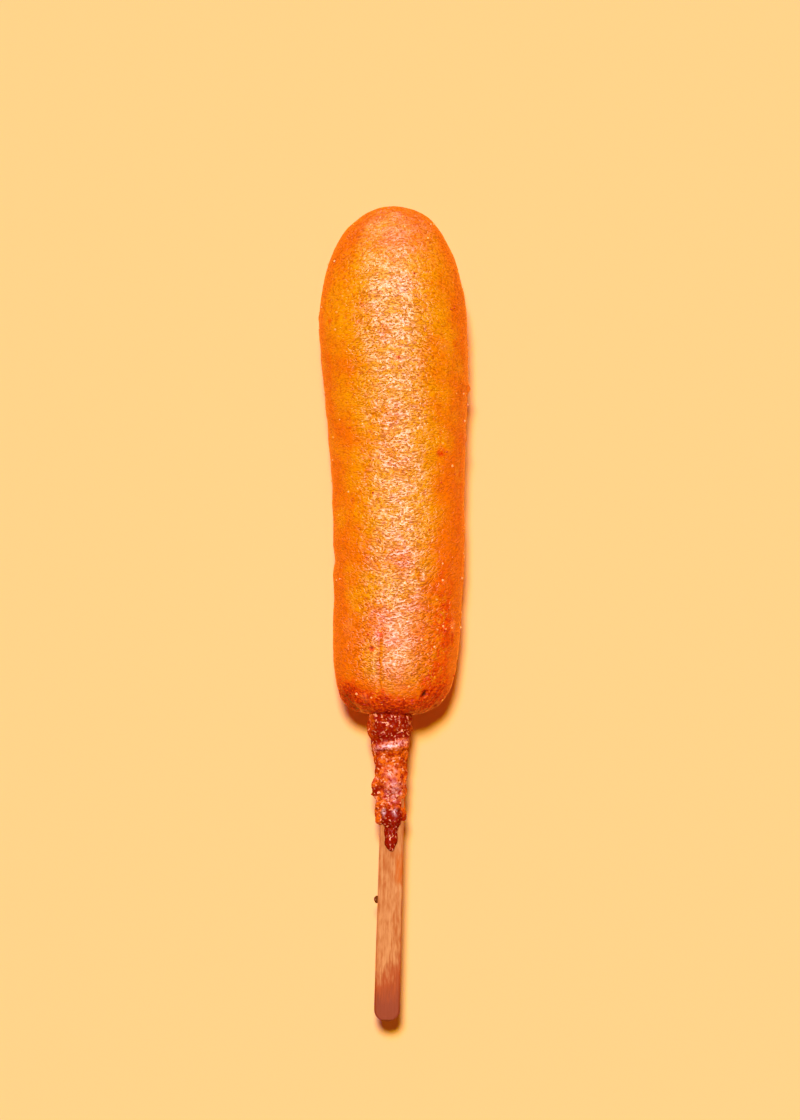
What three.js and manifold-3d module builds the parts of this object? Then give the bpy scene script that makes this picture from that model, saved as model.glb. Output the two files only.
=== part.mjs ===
// A corn dog on a flat wooden stick, lying on its side.
//
// Two solids, in millimetres: the fried batter, which is the round body with a lumpy sleeve of batter running
// down the stick, and the stick itself, which is bare at the grip and runs on into a slot in the body.
// +Y points from the stick to the rounded tip, +Z is up, and the origin is on the surface that the body rests
// on, under the middle of the whole.

import * as THREE from "three";
import { mergeVertices } from "three/addons/utils/BufferGeometryUtils.js";
import Module from "manifold-3d";

// ---- driving dimensions, mm ---------------------------------------------------------------------------

const TIP_Y = 95.8; // rounded tip of the body
const BASE_Y = -24.1; // flat end of the body, where the sleeve starts
const SLEEVE_END_Y = -50.2; // last batter all round the stick
const GRIP_END_Y = -95.8; // bare end of the stick

const BODY = {
  headHalf: 17.4, // half width at the widest place
  headY: 67, // the widest place, where the domed tip starts
  waistHalf: 15.6, // half width of the slimmer lower half
  waistTopY: 22, // where the body starts to widen towards the head
  baseHalf: 15.3, // half width where the base starts to round off
  shoulderY: 2, // where that is
  tipPower: 2.15, // superellipse powers of the two ends: 2 is an ellipse, more is squarer
  basePower: 3.5,
  heightShare: 0.975, // height of a section as a share of its width
  lean: 1.5, // sideways bow of the body's middle line
  leanY: 15, // where that bow is greatest
  leanKept: 0.5, // sideways offset that is left at the base
  bowPower: 1.6, // how the bow fades towards the head
};

const FLAT_DEPTH = 0.7; // how much of the round underside is pressed flat where it rests

const STICK = {
  length: 140,
  width: 5.9,
  thickness: 3.0,
  edgeRound: 0.7, // rounded long edges
  endPower: 2.6, // roundness of the ends, as a superellipse power
  middleX: -0.3, // middle line of the stick where the sleeve ends
  middleZ: 13.6,
  swing: 0.0255, // sideways slope of the stick, X for each Y
  rise: 0.03, // upward slope of the stick, Z for each Y
};
const CLEARANCE = 0.25; // free space between the stick and its slot

const SLEEVE = {
  rootY: -17, // starts inside the body
  rootLeft: 6.3, // reach from the stick's middle line at the body
  rootRight: 4.0,
  rootTop: 5.6,
  rootBottom: 5.2,
  endLeft: 4.0, // and at its thin end
  endRight: 3.5,
  endTop: 2.5,
  endBottom: 2.4,
  slimFromY: -25.5, // stretch over which it slims down
  slimLength: 13,
  power: 2.6, // roundness of a section, as a superellipse power
  leastWall: 0.5, // batter over the stick that no dip cuts into
  endSlant: -0.35, // the end reaches further down on the left side
  closeShare: 0.06, // last share of the length, over which the thin end closes
  endOpen: 0.5, // size of the last ring against the one before the close
};

// Rings of batter that slid down the stick before it set: a dip (positive depth), then the rim under it.
const SLEEVE_FOLDS = [
  { y: -26.9, reach: 1.6, depth: -0.06, slant: 0.1 },
  { y: -29.3, reach: 0.8, depth: 0.17, slant: 0.24 },
  { y: -31.2, reach: 1.0, depth: -0.07, slant: 0.24 },
  { y: -35.8, reach: 1.2, depth: 0.07, slant: -0.1 },
  { y: -40.2, reach: 1.7, depth: -0.08, slant: 0.0 },
  { y: -43.9, reach: 0.7, depth: 0.14, slant: 0.1 },
];

// Lumps of batter on the stick: [x from the stick's middle line, y, z from it], then radii.
const LUMPS = [
  { at: [-3.8, -42.2, 0.5], radii: [1.5, 1.6, 1.2] }, // spur on the left of the sleeve
  { at: [0.5, -46.9, 1.9], radii: [2.4, 2.6, 1.7] }, // dark bead on top of the stick
  { at: [-0.1, -51.9, 1.5], radii: [1.8, 3.7, 1.4] }, // the last run of batter
  { at: [-2.5, -45.6, 2.2], radii: [1.3, 1.4, 1.0] },
];

// Crags fused to the crust: y along the body, angle round it from +X in degrees, how far the middle stands
// out of the skin, and radii round the body, along it and through its skin.
const CRAGS = [
  { y: 52.9, angle: 4, out: 0, radii: [0.8, 0.9, 0.9] },
  { y: 41.2, angle: 12, out: 0, radii: [0.8, 1.4, 0.8] },
  { y: 69.6, angle: 176, out: 0, radii: [0.7, 0.8, 0.7] },
  { y: -21.0, angle: 66, out: 0, radii: [1.0, 0.8, 0.8] },
  { y: 80.6, angle: 88, out: -0.6, radii: [2.6, 0.9, 1.0] }, // curved ridge near the tip
  { y: 79.4, angle: 79, out: -0.6, radii: [1.5, 1.3, 1.0] },
  { y: 62.5, angle: 48, out: -0.7, radii: [1.3, 1.0, 1.1] },
  { y: 27.0, angle: 101, out: -0.7, radii: [1.7, 1.0, 1.1] },
  { y: -1.5, angle: 78, out: -0.7, radii: [1.2, 1.9, 1.1] },
];

// Pits in the crust, given in the same way.
const PITS = [
  { y: -7.2, angle: 106, out: 0.3, radii: [1.1, 1.4, 1.0] },
  { y: -11.0, angle: 98, out: 0.5, radii: [0.9, 4.6, 1.0] }, // furrow near the base
  { y: -18.4, angle: 55, out: 0.2, radii: [0.9, 1.0, 1.0] },
  { y: 46.5, angle: 112, out: 0.5, radii: [1.4, 0.9, 1.0] },
  { y: 9.5, angle: 70, out: 0.5, radii: [0.9, 1.5, 1.0] },
];

// Bead of batter that set on the edge of the bare stick.
const STICK_BEAD = { y: -67.1, out: 0.25, radii: [0.75, 1.05, 0.8] };

// Unevenness of the crust: waves of a given size and depth, laid over each other.
const BODY_RELIEF = [
  { size: 19, depth: 0.3 },
  { size: 7, depth: 0.24 },
  { size: 3.9, depth: 0.16 },
];
const SLEEVE_RELIEF = [
  { size: 4.5, depth: 0.34 },
  { size: 2.2, depth: 0.16 },
];
const SMOOTH_MIDDLE = 6.2; // no relief within this reach of the middle line, where the ends close

// Shallow crease on the left side of the body.
const CREASE = { y: 12.6, reach: 2.2, depth: 0.45, angle: 180, spread: 40 };

// How finely the skins and lumps are divided.
const BODY_SEGMENTS = 54;
const TIP_RINGS = 14;
const TRUNK_RINGS = 32;
const BASE_RINGS = 14;
const END_INSET = 0.35; // the first ring of an end, in steps from its pole
const SLEEVE_SEGMENTS = 28;
const SLEEVE_RINGS = 36;
const LUMP_SEGMENTS = 12;
const LUMP_RINGS = 8;
const STICK_END_STEPS = 16;
const STICK_EDGE_STEPS = 3;
const MERGE_DISTANCE = 1e-4;

// ---- small maths --------------------------------------------------------------------------------------

const clamp01 = (u) => Math.min(1, Math.max(0, u));
const smooth = (u) => clamp01(u) ** 2 * (3 - 2 * clamp01(u));
const mix = (a, b, share) => a + (b - a) * share;
const bell = (distance, reach) => Math.exp(-((distance / reach) ** 2));
const signedPower = (value, power) => Math.sign(value) * Math.abs(value) ** power;

// A repeatable value from 0 to 1 for each whole-numbered cell.
function cellValue(i, j, k) {
  const wave = Math.sin(i * 127.1 + j * 311.7 + k * 74.7) * 43758.5453;
  return wave - Math.floor(wave);
}

// Smooth noise from -1 to 1, from the eight cells round a point.
function noise(x, y, z) {
  const cell = [x, y, z].map(Math.floor);
  const [u, v, w] = [x, y, z].map((value, axis) => smooth(value - cell[axis]));
  let sum = 0;
  for (const a of [0, 1])
    for (const b of [0, 1])
      for (const c of [0, 1]) {
        const share = (a ? u : 1 - u) * (b ? v : 1 - v) * (c ? w : 1 - w);
        sum += share * cellValue(cell[0] + a, cell[1] + b, cell[2] + c);
      }
  return 2 * sum - 1;
}

const relief = (waves, x, y, z) =>
  waves.reduce((sum, { size, depth }) => sum + depth * noise(x / size, y / size, z / size), 0);

// ---- the stick's middle line and the body's -----------------------------------------------------------

const stickX = (y) => STICK.middleX + STICK.swing * (y - SLEEVE_END_Y);
const stickZ = (y) => STICK.middleZ + STICK.rise * (y - SLEEVE_END_Y);

// Half width of the body along its straight stretch.
function trunkHalf(y) {
  const slimmer = clamp01((BODY.waistTopY - y) / (BODY.waistTopY - BODY.shoulderY));
  const low = mix(BODY.waistHalf, BODY.baseHalf, slimmer);
  return mix(low, BODY.headHalf, smooth((y - BODY.waistTopY) / (BODY.headY - BODY.waistTopY)));
}

function bodyX(y) {
  const towardsHead = clamp01((y - BODY.leanY) / (BODY.headY - BODY.leanY));
  const towardsBase = smooth((BODY.leanY - y) / (BODY.leanY - BASE_Y));
  if (y > BODY.leanY) return BODY.lean * (1 - towardsHead ** BODY.bowPower);
  return mix(BODY.lean, BODY.leanKept, towardsBase);
}

// The body lies on its widest place and on its lower half, so its middle line slopes between the two.
function bodyZ(y) {
  const headZ = BODY.headHalf * BODY.heightShare - FLAT_DEPTH;
  const lowZ = BODY.baseHalf * BODY.heightShare - FLAT_DEPTH;
  const share = clamp01((y - BODY.shoulderY) / (BODY.headY - BODY.shoulderY));
  return mix(lowZ, headZ, share);
}

// ---- lofts --------------------------------------------------------------------------------------------

// One closed skin through rings: each ring has a middle and a reach to the left, right, top and bottom.
function loft(rings, segments, power, shift) {
  const positions = [];
  const index = [];
  for (const ring of rings)
    for (let s = 0; s < segments; s++) {
      const angle = (s / segments) * 2 * Math.PI;
      const across = signedPower(Math.cos(angle), 2 / power);
      const up = signedPower(Math.sin(angle), 2 / power);
      const x = across * (across > 0 ? ring.right : ring.left);
      const z = up * (up > 0 ? ring.top : ring.bottom);
      positions.push(...shift(ring, x, z, angle));
    }
  const last = rings.length - 1;
  for (let r = 0; r < last; r++)
    for (let s = 0; s < segments; s++) {
      const a = r * segments + s;
      const b = r * segments + ((s + 1) % segments);
      index.push(a, b, a + segments, b, b + segments, a + segments);
    }
  for (const end of [0, last]) {
    const middle = positions.length / 3;
    positions.push(rings[end].x, rings[end].y, rings[end].z);
    for (let s = 0; s < segments; s++) {
      const a = end * segments + s;
      const b = end * segments + ((s + 1) % segments);
      index.push(...(end ? [middle, a, b] : [middle, b, a]));
    }
  }
  const geometry = new THREE.BufferGeometry();
  geometry.setAttribute("position", new THREE.Float32BufferAttribute(positions, 3));
  geometry.setIndex(index);
  return geometry;
}

// A ring at y that is a share of the trunk's full section there.
function bodyRing(y, sizeShare) {
  const half = trunkHalf(y) * sizeShare;
  const high = half * BODY.heightShare;
  return { x: bodyX(y), y, z: bodyZ(y), left: half, right: half, top: high, bottom: high };
}

// Rings from the tip to the base: both ends are superellipse arcs, stepped by angle.
function bodyRings() {
  const arc = (share, power) => {
    const turn = (share * Math.PI) / 2;
    return [Math.cos(turn) ** (2 / power), Math.sin(turn) ** (2 / power)];
  };
  const rings = [];
  for (let r = 0; r < TIP_RINGS; r++) {
    const [size, along] = arc((TIP_RINGS - r - END_INSET) / TIP_RINGS, BODY.tipPower);
    rings.push(bodyRing(mix(BODY.headY, TIP_Y, along), size));
  }
  for (let r = 0; r < TRUNK_RINGS; r++)
    rings.push(bodyRing(mix(BODY.headY, BODY.shoulderY, r / TRUNK_RINGS), 1));
  for (let r = 0; r < BASE_RINGS; r++) {
    const [size, along] = arc(r / (BASE_RINGS - 1 + END_INSET), BODY.basePower);
    rings.push(bodyRing(mix(BODY.shoulderY, BASE_Y, along), size));
  }
  return rings;
}

function shiftBody(ring, x, z, angle) {
  const turned = THREE.MathUtils.radToDeg(angle) - CREASE.angle;
  const away = THREE.MathUtils.euclideanModulo(turned + 180, 360) - 180;
  const crease = CREASE.depth * bell(ring.y - CREASE.y, CREASE.reach) * bell(away, CREASE.spread);
  const reach = Math.hypot(x, z);
  const waves = relief(BODY_RELIEF, ring.x + x, ring.y, ring.z + z);
  const grown = 1 + (waves * smooth(reach / SMOOTH_MIDDLE) - crease) / reach;
  return [ring.x + x * grown, ring.y, ring.z + z * grown];
}

function sleeveRings() {
  const rings = [];
  for (let r = 0; r < SLEEVE_RINGS; r++) {
    const along = r / (SLEEVE_RINGS - 1);
    const y = mix(SLEEVE.rootY, SLEEVE_END_Y, along);
    const slim = smooth((SLEEVE.slimFromY - y) / SLEEVE.slimLength);
    const closed = clamp01((along - 1) / SLEEVE.closeShare + 1);
    const close = Math.sqrt(1 - closed ** 2 * (1 - SLEEVE.endOpen ** 2));
    rings.push({
      x: stickX(y),
      y,
      z: stickZ(y),
      left: mix(SLEEVE.rootLeft, SLEEVE.endLeft, slim) * close,
      right: mix(SLEEVE.rootRight, SLEEVE.endRight, slim) * close,
      top: mix(SLEEVE.rootTop, SLEEVE.endTop, slim) * close,
      bottom: mix(SLEEVE.rootBottom, SLEEVE.endBottom, slim) * close,
    });
  }
  return rings;
}

function shiftSleeve(ring, x, z) {
  const thinEnd = smooth((SLEEVE.rootY - ring.y) / (SLEEVE.rootY - SLEEVE_END_Y));
  const fold = SLEEVE_FOLDS.reduce(
    (sum, { y, reach, depth, slant }) => sum + depth * bell(ring.y - y - slant * x, reach),
    0,
  );
  // Batter above the stick's own section: where it is thin over the edges, it stays even.
  const beside = Math.max(0, Math.abs(x) - STICK.width / 2);
  const above = Math.max(0, Math.abs(z) - STICK.thickness / 2);
  const spare = Math.max(0, Math.hypot(beside, above) - SLEEVE.leastWall);
  const waves = relief(SLEEVE_RELIEF, ring.x + x, ring.y, ring.z + z);
  const grown = 1 + (waves * Math.min(1, spare) - fold * spare) / Math.hypot(x, z);
  return [ring.x + x * grown, ring.y + SLEEVE.endSlant * -x * thinEnd, ring.z + z * grown];
}

// ---- solids -------------------------------------------------------------------------------------------

const wasm = await Module();
wasm.setup();

function solidFrom(geometry) {
  const bare = geometry.clone();
  for (const name of Object.keys(bare.attributes)) if (name !== "position") bare.deleteAttribute(name);
  const merged = mergeVertices(bare, MERGE_DISTANCE);
  const vertProperties = merged.attributes.position.array;
  const triVerts = new Uint32Array(merged.index.array);
  return new wasm.Manifold(new wasm.Mesh({ numProp: 3, vertProperties, triVerts }));
}

function geometryFrom(solid) {
  const { vertProperties, triVerts } = solid.getMesh();
  const geometry = new THREE.BufferGeometry();
  geometry.setAttribute("position", new THREE.BufferAttribute(new Float32Array(vertProperties), 3));
  geometry.setIndex(new THREE.BufferAttribute(new Uint32Array(triVerts), 1));
  geometry.computeVertexNormals();
  return geometry;
}

// An ellipsoid at a point, turned about Y.
function lump(at, radii, turn = 0) {
  const sphere = new THREE.SphereGeometry(1, LUMP_SEGMENTS, LUMP_RINGS);
  sphere.scale(...radii);
  sphere.rotateY(turn);
  sphere.translate(...at);
  return solidFrom(sphere);
}

// An ellipsoid on the body's skin, with its last radius pointing out of it.
function skinLump({ y, angle, out, radii }) {
  const towardsTip = clamp01((y - BODY.headY) / (TIP_Y - BODY.headY));
  const towardsBase = clamp01((BODY.shoulderY - y) / (BODY.shoulderY - BASE_Y));
  const tipShare = (1 - towardsTip ** BODY.tipPower) ** (1 / BODY.tipPower);
  const baseShare = (1 - towardsBase ** BODY.basePower) ** (1 / BODY.basePower);
  const reach = trunkHalf(y) * tipShare * baseShare + out;
  const turn = THREE.MathUtils.degToRad(angle);
  const at = [bodyX(y) + reach * Math.cos(turn), y, bodyZ(y) + reach * BODY.heightShare * Math.sin(turn)];
  return lump(at, radii, Math.PI / 2 - turn);
}

// The stick, or with growth the slot that takes it: a flat bar with round ends, bevelled along its edges.
function stickBar(growth) {
  const half = STICK.width / 2 + growth - STICK.edgeRound;
  const reach = STICK.length / 2 + growth - STICK.edgeRound;
  const points = [];
  for (const side of [1, -1])
    for (let s = 0; s <= STICK_END_STEPS; s++) {
      const turn = (s / STICK_END_STEPS) * Math.PI;
      const x = half * signedPower(Math.cos(turn), 2 / STICK.endPower);
      const y = reach - half + half * Math.sin(turn) ** (2 / STICK.endPower);
      points.push(new THREE.Vector2(side * x, side * y));
    }
  const bar = new THREE.ExtrudeGeometry(new THREE.Shape(points), {
    depth: STICK.thickness + 2 * (growth - STICK.edgeRound),
    bevelThickness: STICK.edgeRound,
    bevelSize: STICK.edgeRound,
    bevelSegments: STICK_EDGE_STEPS,
  });
  bar.translate(0, 0, -STICK.thickness / 2 - growth + STICK.edgeRound);
  const turned = new THREE.Euler(Math.atan(STICK.rise), 0, -Math.atan(STICK.swing));
  const middleY = GRIP_END_Y + STICK.length / 2;
  const place = new THREE.Matrix4().makeRotationFromEuler(turned);
  place.setPosition(stickX(middleY), middleY, stickZ(middleY));
  bar.applyMatrix4(place);
  return solidFrom(bar);
}

function belowFloor() {
  const deep = 20;
  const block = new THREE.BoxGeometry(200, 300, deep);
  block.translate(0, 0, -deep / 2);
  return solidFrom(block);
}

function batterSolid() {
  let batter = solidFrom(loft(bodyRings(), BODY_SEGMENTS, 2, shiftBody));
  for (const pit of PITS) batter = batter.subtract(skinLump(pit));
  for (const crag of CRAGS) batter = batter.add(skinLump(crag));
  batter = batter.add(solidFrom(loft(sleeveRings(), SLEEVE_SEGMENTS, SLEEVE.power, shiftSleeve)));
  for (const { at: [x, y, z], radii } of LUMPS)
    batter = batter.add(lump([stickX(y) + x, y, stickZ(y) + z], radii));
  return batter.subtract(belowFloor()).subtract(stickBar(CLEARANCE));
}

function stickSolid() {
  const { y, out, radii } = STICK_BEAD;
  const at = [stickX(y) - STICK.width / 2 - out, y, stickZ(y)];
  return stickBar(0).add(lump(at, radii));
}

// ---- the two named meshes -----------------------------------------------------------------------------

function friedBatter() {
  const material = new THREE.MeshStandardMaterial({ color: 0xf07d14, roughness: 0.45, metalness: 0 });
  const mesh = new THREE.Mesh(geometryFrom(batterSolid()), material);
  mesh.name = "fried_batter";
  return mesh;
}

function woodenStick() {
  const material = new THREE.MeshStandardMaterial({ color: 0xe39a5b, roughness: 0.6, metalness: 0 });
  const mesh = new THREE.Mesh(geometryFrom(stickSolid()), material);
  mesh.name = "stick";
  return mesh;
}

// Puts the origin under the middle of the whole, on the surface that it rests on.
function centreOnFloor(group) {
  const box = new THREE.Box3().setFromObject(group, true);
  const middle = box.getCenter(new THREE.Vector3());
  group.position.set(-middle.x, -middle.y, -box.min.z);
  return group;
}

const cornDog = new THREE.Group();
cornDog.name = "corn_dog";
cornDog.add(friedBatter(), woodenStick());

export default centreOnFloor(cornDog);
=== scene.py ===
"""The looks of a corn dog on a flat wooden stick, lying on its side in a plain bright studio.

The crust of the body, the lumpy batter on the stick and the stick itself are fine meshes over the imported
frame's solids. Lengths are millimetres from the part's own zero, which is where the solids were measured
from, and become metres only when a mesh is made.
"""

import logging
import math
from dataclasses import dataclass
from enum import Enum

import bmesh
import bpy
import numpy as np
from mathutils import Matrix, Vector


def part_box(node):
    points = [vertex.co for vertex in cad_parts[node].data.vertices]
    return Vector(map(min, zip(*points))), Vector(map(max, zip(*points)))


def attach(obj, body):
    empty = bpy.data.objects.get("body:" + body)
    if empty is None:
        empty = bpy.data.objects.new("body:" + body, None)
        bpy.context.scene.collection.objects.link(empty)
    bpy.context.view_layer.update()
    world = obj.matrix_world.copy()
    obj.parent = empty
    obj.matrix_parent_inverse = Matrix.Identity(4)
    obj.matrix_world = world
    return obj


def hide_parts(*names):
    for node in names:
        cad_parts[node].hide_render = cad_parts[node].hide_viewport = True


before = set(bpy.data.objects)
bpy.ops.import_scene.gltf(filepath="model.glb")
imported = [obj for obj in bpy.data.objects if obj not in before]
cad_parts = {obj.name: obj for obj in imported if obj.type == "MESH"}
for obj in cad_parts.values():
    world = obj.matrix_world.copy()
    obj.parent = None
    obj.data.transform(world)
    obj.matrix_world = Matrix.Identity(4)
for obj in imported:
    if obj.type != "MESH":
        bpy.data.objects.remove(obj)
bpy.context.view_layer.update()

MM = 0.001
BODY = "root"
Colour = tuple[float, float, float]
Span = tuple[float, float]
log = logging.getLogger("corn_dog")


# ---- node graphs ----


class Mixing(Enum):
    """How a second colour goes over the first."""

    COVER = "MIX"
    TINT = "MULTIPLY"


class Moving(Enum):
    """How points are moved."""

    BY = "Offset"
    TO = "Position"


class Carried(Enum):
    """What a mesh carries for its finish, one value for each vertex."""

    REST = "rest"
    # Browning, and on the sleeve also painted shade.
    BROWNED = "browned"
    # Pale flecks, and also painted highlight patches.
    PALE = "pale"
    # Glossy places of the sleeve, which also carry its painted highlights.
    WET = "wet_and_painted_sheen"
    OILY = "oily"
    # Stain, and at the grip end's edge also painted shade.
    STAINED = "stained"


class Sock:
    """One output socket, wrapped so that maths on it is written as a plain expression."""

    def __init__(self, graph: "Graph", socket: bpy.types.NodeSocket) -> None:
        """Keeps the graph that new Math nodes go into, and the socket."""
        self.graph = graph
        self.socket = socket

    def __add__(self, other: "Sock | float") -> "Sock":
        """self + other."""
        return self.graph.math("ADD", self, other)

    def __sub__(self, other: "Sock | float") -> "Sock":
        """self - other."""
        return self.graph.math("SUBTRACT", self, other)

    def __rsub__(self, other: "Sock | float") -> "Sock":
        """other - self."""
        return self.graph.math("SUBTRACT", other, self)

    def __mul__(self, other: "Sock | float") -> "Sock":
        """self * other."""
        return self.graph.math("MULTIPLY", self, other)

    def __truediv__(self, other: "Sock | float") -> "Sock":
        """self / other."""
        return self.graph.math("DIVIDE", self, other)

    def __rtruediv__(self, other: "Sock | float") -> "Sock":
        """other / self."""
        return self.graph.math("DIVIDE", other, self)

    def __pow__(self, other: "Sock | float") -> "Sock":
        """self ** other."""
        return self.graph.math("POWER", self, other)

    __radd__ = __add__
    __rmul__ = __mul__

    def clamp(self) -> "Sock":
        """The value, held between 0 and 1."""
        return self.graph.math("ADD", self, 0.0, clamp=True)

    def rise(self, start: float, end: float) -> "Sock":
        """0 below start, 1 above end and smooth between them; end may be the smaller of the two."""
        values = {"Value": self, "From Min": start, "From Max": end}
        return self.graph.node("ShaderNodeMapRange", {"interpolation_type": "SMOOTHSTEP"}, values).out()

    def ridge(self) -> "Sock":
        """1 where the value is a half, falling to 0 at 0 and 1: a noise becomes a net of ridges."""
        return 1.0 - self.graph.math("ABSOLUTE", self * 2.0 - 1.0)


Paint = Sock | Colour


def filled(colour: Paint) -> Sock | tuple[float, float, float, float]:
    """A colour as a socket takes it: a link as it is, and three numbers with a fourth for full cover."""
    return colour if isinstance(colour, Sock) else (*colour, 1.0)


class Made:
    """A node that has just been made."""

    def __init__(self, graph: "Graph", node: bpy.types.Node) -> None:
        """Keeps the graph and the node."""
        self.graph = graph
        self.node = node

    def out(self, name: str = "") -> Sock:
        """Wraps an output.

        Args:
            name: the output's name, or nothing for the first one in use.

        Returns:
            The wrapped socket.
        """
        for socket in self.node.outputs:
            if socket.enabled and name in ("", socket.name):
                return Sock(self.graph, socket)
        raise KeyError(f"{self.node.bl_idname} has no output {name!r}")


class Graph:
    """A node tree under construction, of a material, of the world or of geometry."""

    def __init__(self, tree: bpy.types.NodeTree) -> None:
        """Keeps the tree."""
        self.tree = tree

    @classmethod
    def cleared(cls, owner: bpy.types.Material | bpy.types.World) -> "Graph":
        """Turns on the nodes of a material or a world and empties them.

        Args:
            owner: what the nodes belong to.

        Returns:
            Its graph.
        """
        owner.use_nodes = True
        owner.node_tree.nodes.clear()
        return cls(owner.node_tree)

    def node(self, kind: str, settings: dict | None = None, values: dict | None = None) -> Made:
        """Makes one node.

        Args:
            kind: the node's type.
            settings: its properties, which are set first.
            values: numbers, vectors or links for its sockets, by name or by number.

        Returns:
            The new node.
        """
        node = self.tree.nodes.new(kind)
        for name, setting in (settings or {}).items():
            setattr(node, name, setting)
        for key, value in (values or {}).items():
            socket = self._input(node, key)
            if isinstance(value, Sock):
                self.tree.links.new(value.socket, socket)
            else:
                socket.default_value = value
        return Made(self, node)

    @staticmethod
    def _input(node: bpy.types.Node, key: str | int) -> bpy.types.NodeSocket:
        """Finds one of a node's inputs.

        Args:
            node: the node.
            key: the input's number, or its name among those in use.

        Returns:
            The input.
        """
        if isinstance(key, int):
            return node.inputs[key]
        for socket in node.inputs:
            if socket.enabled and socket.name == key:
                return socket
        raise KeyError(f"{node.bl_idname} has no input {key!r}")

    def math(self, operation: str, *values: Sock | float, clamp: bool = False) -> Sock:
        """One Math node on values, as a socket."""
        settings = {"operation": operation, "use_clamp": clamp}
        return self.node("ShaderNodeMath", settings, dict(enumerate(values))).out()

    def vector(self, operation: str, values: dict) -> Sock:
        """One Vector Math node on values by name or number, as a socket."""
        return self.node("ShaderNodeVectorMath", {"operation": operation}, values).out()

    def scaled(self, vector: Sock, factor: Sock | float) -> Sock:
        """A vector times a number."""
        return self.vector("SCALE", {0: vector, "Scale": factor})

    def squeezed(self, vector: Sock, along: float) -> Sock:
        """A vector with its Y times a number, which draws a pattern out lengthwise."""
        return self.vector("MULTIPLY", {0: vector, 1: (1.0, along, 1.0)})

    def joined(self, x: Sock, y: Sock, z: Sock) -> Sock:
        """The vector of three numbers."""
        return self.node("ShaderNodeCombineXYZ", None, {"X": x, "Y": y, "Z": z}).out()

    def axes(self, vector: Sock) -> tuple[Sock, Sock, Sock]:
        """A vector's three numbers."""
        split = self.node("ShaderNodeSeparateXYZ", None, {0: vector})
        return split.out("X"), split.out("Y"), split.out("Z")

    def mix(self, share: Sock, first: Paint, second: Paint, mixing: Mixing = Mixing.COVER) -> Sock:
        """A colour between two colours.

        Args:
            share: how much of the second.
            first: a colour.
            second: the other colour.
            mixing: how the second goes over the first.

        Returns:
            The mixed colour.
        """
        settings = {"data_type": "RGBA", "blend_type": mixing.value, "clamp_factor": True}
        values = {"Factor": share, "A": filled(first), "B": filled(second)}
        return self.node("ShaderNodeMix", settings, values).out()

    def either(self, share: Sock, first: Sock, second: Sock) -> Sock:
        """One shader or another, by a share of the second."""
        return self.node("ShaderNodeMixShader", None, {0: share, 1: first, 2: second}).out()

    def noise(self, place: Sock, size: Sock | float, detail: float = 0.0, seed: Sock | float = 0.0) -> Sock:
        """Smooth noise from 0 to 1.

        Args:
            place: where it is read.
            size: the length of one wave.
            detail: how many finer waves lie on it.
            seed: picks another pattern of the same kind.

        Returns:
            The noise.
        """
        values = {"Vector": place, "W": seed, "Scale": 1.0 / size, "Detail": detail, "Roughness": 0.55}
        return self.node("ShaderNodeTexNoise", {"noise_dimensions": "4D"}, values).out("Fac")

    def carried(self, what: Carried, output: str = "Fac") -> Sock:
        """A value that the mesh carries."""
        return self.node("ShaderNodeAttribute", {"attribute_name": what.value}).out(output)


class GeometryGraph(Graph):
    """A geometry node tree with named inputs, applied to a mesh as a modifier."""

    def __init__(self, name: str) -> None:
        """Makes the tree with its geometry input and output."""
        super().__init__(bpy.data.node_groups.new(name, "GeometryNodeTree"))
        self._declare("Geometry", "NodeSocketGeometry")
        self._declare("Geometry", "NodeSocketGeometry", "OUTPUT")
        self.inlet = self.tree.nodes.new("NodeGroupInput")
        self.outlet = self.tree.nodes.new("NodeGroupOutput")

    def _declare(self, name: str, kind: str, side: str = "INPUT") -> bpy.types.NodeTreeInterfaceSocket:
        """Adds a socket to the tree's own inputs or outputs."""
        return self.tree.interface.new_socket(name, in_out=side, socket_type=kind)

    @property
    def geometry(self) -> Sock:
        """What comes into the tree."""
        return Sock(self, self.inlet.outputs["Geometry"])

    def number(self, name: str, value: float | int) -> Sock:
        """Declares a named number that the modifier sets.

        Args:
            name: the input's name.
            value: what it is when nothing is set. The input takes whole numbers when this is one.

        Returns:
            The number.
        """
        kind = "NodeSocketInt" if isinstance(value, int) else "NodeSocketFloat"
        self._declare(name, kind).default_value = value
        return Sock(self, self.inlet.outputs[name])

    def position(self) -> Sock:
        """Where each point is, in metres."""
        return self.node("GeometryNodeInputPosition").out()

    def given(self, what: Carried) -> Sock:
        """A value that the mesh carries into the tree."""
        values = {"Name": what.value}
        return self.node("GeometryNodeInputNamedAttribute", {"data_type": "FLOAT"}, values).out("Attribute")

    def moved(self, geometry: Sock, how: Moving, where: Sock) -> Sock:
        """Geometry with its points moved, in metres."""
        return self.node("GeometryNodeSetPosition", None, {"Geometry": geometry, how.value: where}).out()

    def chance(self, kind: str, values: dict) -> Sock:
        """A random value of a kind for each point."""
        return self.node("FunctionNodeRandomValue", {"data_type": kind}, values).out()

    def finish(self, geometry: Sock) -> None:
        """Ends the tree in realized instances with the material set.

        Args:
            geometry: what comes out of the tree's own work.
        """
        self._declare("Material", "NodeSocketMaterial")
        real = self.node("GeometryNodeRealizeInstances", None, {"Geometry": geometry}).out()
        values = {"Geometry": real, "Material": Sock(self, self.inlet.outputs["Material"])}
        dressed = self.node("GeometryNodeSetMaterial", None, values).out()
        self.tree.links.new(dressed.socket, self.outlet.inputs["Geometry"])

    def apply(self, piece: bpy.types.Object, values: dict[str, object]) -> None:
        """Runs the tree on a piece and keeps the result as its plain mesh.

        Args:
            piece: the object whose mesh goes in, and is replaced.
            values: the tree's inputs by name.
        """
        modifier = piece.modifiers.new(self.tree.name, "NODES")
        modifier.node_group = self.tree
        for item in self.tree.interface.items_tree:
            if item.in_out == "INPUT" and item.name in values:
                modifier[item.identifier] = values[item.name]
        keep_evaluated(piece)


# ---- meshes ----


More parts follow.
